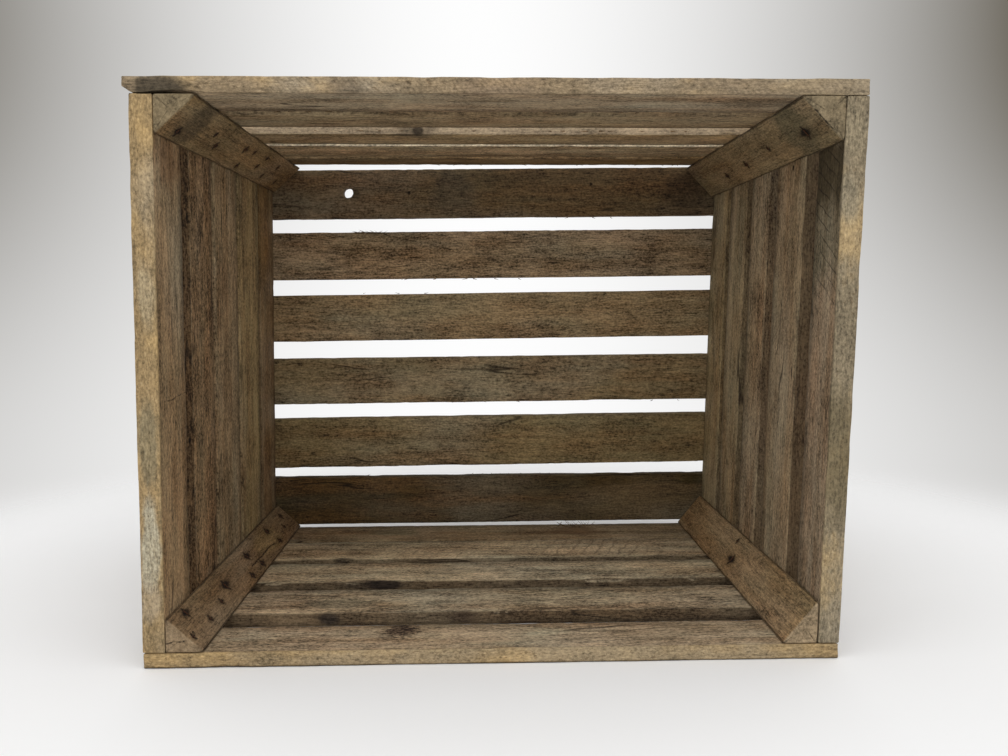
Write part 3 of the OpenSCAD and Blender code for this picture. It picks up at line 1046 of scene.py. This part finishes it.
def make_floor():
    for i in range(1, FLOOR_SLATS + 1):
        node = f"floor_slat_{i}"
        stick = Stick(node, 0, 50 + i)
        stick.nails = nails_in(node, "floor")
        tone = BOARD_TONES["floor"][i - 1]
        wood = Wood(f"floor slat {i} wood", "X", 50 + i, tone, contrast=CONTRASTS.get(node, 1.0))
        wood.lay_grain()
        wood.look = wood.finish_colour()
        low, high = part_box(node)
        # Painted shade along the top and bottom edges of each slat
        wood.painted_edge_shade(2, low.z, high.z, (5 * MM, 6 * MM), 0.18)
        stick.rounding = 0.6 * MM
        mark(wood, node)
        # The first slat gets further painted shade along its top, where the top wall shades it
        if i == 1:
            wood.painted_edge_shade(2, low.z, high.z, (1 * MM, SLAT_TOP_SHADE_REACH), 0.35)
        piece = stick.build()
        if i == 1:
            cut_peg_hole(piece)
        dress(piece, wood.close(), "slat_wood", node)


# Where nail points show in the posts' inner faces, and how long each mark is
POST_NAIL_PIXELS = {
    "top_left": [
        ((178, 132), 5.0 * MM), ((216, 135), 2.5 * MM), ((216, 146), 4.5 * MM), ((246, 150), 5.0 * MM),
        ((255, 153), 3.0 * MM), ((267, 159), 2.5 * MM), ((237, 166), 4.0 * MM), ((257, 167), 4.0 * MM),
        ((278, 168), 4.0 * MM), ((262, 176), 3.0 * MM), ((275, 182), 3.0 * MM),
    ],
    "top_right": [
        ((805, 133), 8.0 * MM), ((768, 149), 3.0 * MM), ((746, 165), 5.0 * MM), ((727, 176), 5.0 * MM),
    ],
    "bottom_left": [
        ((281, 516), 5.0 * MM), ((284, 526), 3.5 * MM), ((267, 531), 5.5 * MM), ((280, 540), 4.0 * MM),
        ((247, 556), 6.5 * MM), ((263, 563), 5.5 * MM), ((253, 575), 4.5 * MM), ((226, 585), 8.0 * MM),
        ((222, 601), 4.0 * MM), ((211, 618), 4.0 * MM), ((186, 612), 6.0 * MM), ((194, 636), 3.0 * MM),
    ],
    "bottom_right": [((737, 541), 3.0 * MM), ((731, 559), 8.0 * MM)],
}
# Filled by make_posts with each mark's point, slant and facing, and read by make_nail_points
tips = []


def make_posts():
    for i, place in enumerate(("top_left", "top_right", "bottom_left", "bottom_right")):
        node = "post_" + place
        stick = Stick(node, 1, 70 + i)
        stick.across = 2.6 * MM
        stick.rounding = 0.6 * MM
        wood = Wood(f"{place} post wood", "Y", 70 + i, POST_TONES[i], contrast=0.9)
        wood.arris_wear_and_highlight = 0.0
        # Painted shadow lines along the post's long edges, where it meets the boards
        wood.edge_shadow_line = 0.75
        wood.checked = 0.0
        wood.end_tone = shade(*POST_END_TONES[i])
        wood.lay_grain()
        wood.look = wood.finish_colour()
        mark(wood, node)
        for pixel, length in POST_NAIL_PIXELS[place]:
            point, facing = seen_at(pixel, node)
            slant = facing.cross(Vector((0.0, 1.0, 0.0))).normalized() * length / 2
            wood.split_along((point - slant, point + slant), 2.3 * MM, 0.92)
            wood.stain(point, (length * 0.8, length * 1.5, length * 0.8), (64, 48, 32), 0.35, 0.8)
            wood.stain(point, (length * 0.42, length * 0.95, length * 0.42), (26, 18, 13), 0.95, 0.4)
            stick.marks.append((np.array(point), np.array(facing), 0.7 * MM, length * 0.5))
            tips.append((point, slant, facing))
        dress(stick.build(), wood.close(), "post_wood", node)


TIP_SIDES = 8


def make_nail_points(iron):
    """Bent over nail points that lie in the marks on the posts."""
    vertices = []
    faces = []
    for number, (point, slant, facing) in enumerate(tips):
        middle = Vector(point) - facing * 0.55 * MM
        width = Vector((0.0, 1.0, 0.0))
        first = len(vertices)
        vertices.append(middle - slant * 0.8)
        rings = ((-0.6, 0.45), (-0.2, 0.75), (0.2, 0.7), (0.6, 0.4))
        for along, girth in rings:
            for k in range(TIP_SIDES):
                angle = 2 * math.pi * k / TIP_SIDES + number
                bend = math.sin(number * 2.3) * (along ** 2) * 0.8 * MM
                off = width * (math.cos(angle) * girth * MM + bend)
                off = off + facing * math.sin(angle) * girth * 0.6 * MM
                vertices.append(middle + slant * along + off)
        vertices.append(middle + slant * 0.8)
        faces += tube_faces(first, len(rings), TIP_SIDES)
    dress(add_mesh("bent_nail_points", vertices, faces), iron, "nail_iron")


# Torn fibres: where they start in the frame, on which piece, how many, over what width, which way
# they lift, and how long they are
SPLINTERS = {
    "slat_wood": [
        ((368, 233), "floor_slat_2", 16, 26 * MM, (0.0, 0.0, 2.4), 9 * MM),
        ((520, 232), "floor_slat_2", 5, 120 * MM, (0.0, 0.0, 1.0), 4 * MM),
        ((480, 218), "floor_slat_1", 8, 300 * MM, (0.0, 0.0, -1.0), 4 * MM),
        ((420, 280), "floor_slat_2", 8, 220 * MM, (0.0, 0.0, -1.0), 4 * MM),
        ((500, 292), "floor_slat_3", 8, 300 * MM, (0.0, 0.0, 1.0), 4 * MM),
        ((560, 402), "floor_slat_4", 8, 260 * MM, (0.0, 0.0, -1.0), 4 * MM),
        ((440, 474), "floor_slat_6", 9, 260 * MM, (0.0, 0.0, 1.0), 4 * MM),
    ],
    "board_wood": [
        ((573, 526), "bottom_board_5", 18, 34 * MM, (0.0, 2.0, 4.2), 9 * MM),
        ((560, 165), "top_board_5", 12, 260 * MM, (0.0, 0.3, -1.0), 5 * MM),
        ((500, 131), "top_board_3", 14, 320 * MM, (0.0, -1.0, 0.0), 5 * MM),
        ((470, 113), "top_board_1", 14, 320 * MM, (0.0, 1.0, -0.2), 5 * MM),
    ],
}


def make_splinters(slot):
    """Thin slivers that stand a little off the edges where the saw tore the fibres."""
    chance = np.random.default_rng(7)
    wood = Wood("torn fibres on " + slot, "X", 90, (100, 78, 52))
    wood.lay_grain()
    wood.look = wood.finish_colour()
    vertices = []
    faces = []
    for pixel, node, count, spread, lift, size in SPLINTERS[slot]:
        point = seen_at(pixel, node)[0]
        for _ in range(count):
            root = point - Vector(lift).normalized() * 0.6 * MM
            root.x += (chance.random() - 0.5) * spread
            run = Vector((chance.choice((-1.0, 1.0)), 0.0, 0.0)) * size * (0.5 + chance.random())
            rise = Vector(lift) * (0.9 + chance.random() * 0.8) * MM
            girth = (0.25 + chance.random() * 0.35) * MM
            first = len(vertices)
            for part, share in ((0.0, 1.0), (0.4, 0.8), (0.75, 0.45)):
                centre = root + run * part + rise * part ** 1.5
                for k in range(3):
                    angle = 2 * math.pi * k / 3 + part
                    off = Vector((0.0, math.cos(angle), math.sin(angle))) * girth * share
                    vertices.append(centre + off)
            vertices.append(root + run + rise)
            for ring in (0, 3):
                for k in range(3):
                    q = (k + 1) % 3
                    a = first + ring
                    faces.append((a + k, a + q, a + q + 3, a + k + 3))
            faces += [(first + 6 + k, first + 6 + (k + 1) % 3, first + 9) for k in range(3)]
            faces.append((first + 2, first + 1, first))
    dress(add_mesh("splinters_" + slot, vertices, faces), wood.close(), slot)


HEAD_RADIUS = 2.4 * MM
SHANK_RADIUS = 0.9 * MM
HEAD_THICKNESS = 0.8 * MM
POINT_LENGTH = 3.0 * MM
# The points stop a little short of the solids' own, so that none shows through the worn wood
TIP_SHORT = 1.5 * MM
NAIL_SIDES = 14


def nail_rings(length):
    """Radius and distance below the head's top of each ring of a nail."""
    return [
        (HEAD_RADIUS * 0.35, 0.03 * MM), (HEAD_RADIUS * 0.75, 0.08 * MM),
        (HEAD_RADIUS * 0.96, 0.22 * MM), (HEAD_RADIUS, 0.42 * MM),
        (HEAD_RADIUS * 0.93, HEAD_THICKNESS * 0.85), (SHANK_RADIUS, HEAD_THICKNESS),
        (SHANK_RADIUS, length - POINT_LENGTH),
    ]


def make_nails(wall, iron):
    vertices = []
    faces = []
    for head, tip in NAILS[wall]:
        length = np.linalg.norm(tip - head)
        way = (tip - head) / length
        length -= TIP_SHORT
        side = np.array([way[1], way[2], way[0]])
        other = np.cross(way, side)
        first = len(vertices)
        vertices.append(head + way * 0.02 * MM)
        for radius, down in nail_rings(length):
            for k in range(NAIL_SIDES):
                angle = 2 * math.pi * k / NAIL_SIDES
                point = head + (side * math.cos(angle) + other * math.sin(angle)) * radius + way * down
                rough = float(soft_noise(point[None], 700.0, 97)[0])
                if down < HEAD_THICKNESS * 0.9:
                    point = point + way * rough * 0.3 * MM - (point - head) * rough * 0.12
                vertices.append(point)
        vertices.append(head + way * (length - 0.2 * MM))
        faces += tube_faces(first, len(nail_rings(length)), NAIL_SIDES)
    node = "nails_floor" if wall == "floor" else f"nails_{wall}_wall"
    dress(add_mesh(node + "_iron", vertices, faces), iron, "nail_iron", node)


def make_camera():
    look = eye_frame()
    lens = bpy.data.cameras.new("camera")
    lens.sensor_width = SENSOR_MM
    lens.lens = FOCAL_PX / FRAME_PX[0] * SENSOR_MM
    lens.clip_start = 0.01
    camera = bpy.data.objects.new("camera", lens)
    columns = Matrix((look.col[0], look.col[2], -look.col[1])).transposed()
    camera.matrix_world = Matrix.Translation(EYE) @ columns.to_4x4()
    bpy.context.scene.collection.objects.link(camera)
    bpy.context.scene.camera = camera


# Floor, backdrop and light
FLOOR_REACH = 4.0
FLOOR_SHOWN = 0.44
FLOOR_GONE = 0.72
FLOOR_TONE = (242, 242, 242)
WORLD_LIGHT = 0.67


def make_stage():
    finish = Finish("pale floor", 0.9)
    finish.shader.inputs["Base Color"].default_value = shade(*FLOOR_TONE)
    x, y, _ = finish.split(finish.places)
    away = Number(finish, finish.vector("LENGTH", finish.join(x, y, 0.0)))
    clear = finish.node("ShaderNodeBsdfTransparent").outputs[0]
    faded = away.ramp(FLOOR_SHOWN, FLOOR_GONE) * finish.shown_rays()
    blend = {0: faded, 1: finish.shader.outputs[0], 2: clear}
    mixed = finish.node("ShaderNodeMixShader", sockets=blend).outputs[0]
    finish.tree.links.new(mixed, finish.tree.nodes["Material Output"].inputs["Surface"])
    reach = FLOOR_REACH
    corners = [(-reach, -reach, 0.0), (reach, -reach, 0.0), (reach, reach, 0.0), (-reach, reach, 0.0)]
    floor = add_mesh("floor", corners, [(0, 1, 2, 3)])
    floor.data.materials.append(finish.material)


class Sky(Finish):
    """The studio round the crate. The camera sees a glow that fades outwards and upwards."""

    def __init__(self):
        world = bpy.data.worlds.new("studio")
        world.use_nodes = True
        bpy.context.scene.world = world
        self.tree = world.node_tree
        self.background = self.tree.nodes["Background"]

    def paint(self):
        way = self.split(self.node("ShaderNodeTexCoord").outputs["Generated"])
        height = way[2].ramp(-0.2, 0.32)
        side = (abs(way[0]) * 1.9) ** 1.8 * way[1].ramp(0.35, 0.72)
        low = way[2].ramp(-0.18, -0.27)
        dim = (side * (height * 0.62 + 0.36) + 0.012).clamp() * (1 - low * 0.85) + low * 0.03
        glow = self.mix(dim, (1.0, 1.0, 1.0, 1.0), (0.105, 0.088, 0.058, 1.0))
        light = (WORLD_LIGHT, WORLD_LIGHT, WORLD_LIGHT, 1.0)
        colour = self.mix(self.shown_rays(), light, glow)
        self.tree.links.new(colour, self.background.inputs["Color"])
        self.background.inputs["Strength"].default_value = 1.0


def add_softbox(name, place, target, size, power):
    lamp = bpy.data.lights.new(name, "AREA")
    lamp.shape = "RECTANGLE"
    lamp.size, lamp.size_y = size
    lamp.energy = power
    box = bpy.data.objects.new(name, lamp)
    way = Vector(target) - Vector(place)
    box.matrix_world = Matrix.Translation(place) @ way.to_track_quat("-Z", "Y").to_matrix().to_4x4()
    bpy.context.scene.collection.objects.link(box)


def make_light():
    Sky().paint()
    add_softbox("overhead softbox", (0.0, -0.3, 1.5), (0.0, 0.0, 0.2), (1.7, 1.3), 11.5)
    add_softbox("front softbox", (0.0, -1.7, 0.9), (0.0, 0.1, 0.15), (1.8, 1.0), 6.0)


make_camera()
make_wall("top", 0, "board_wood", 10)
make_wall("bottom", 0, "board_wood", 20)
make_wall("left", 2, "side_wood", 30)
make_wall("right", 2, "side_wood", 40)
make_floor()
make_posts()
rusty_iron = iron_finish()
for wall in NAILS:
    make_nails(wall, rusty_iron)
make_nail_points(rusty_iron)
for slot in SPLINTERS:
    make_splinters(slot)
make_stage()
make_light()
bpy.context.scene.view_settings.view_transform = "Standard"
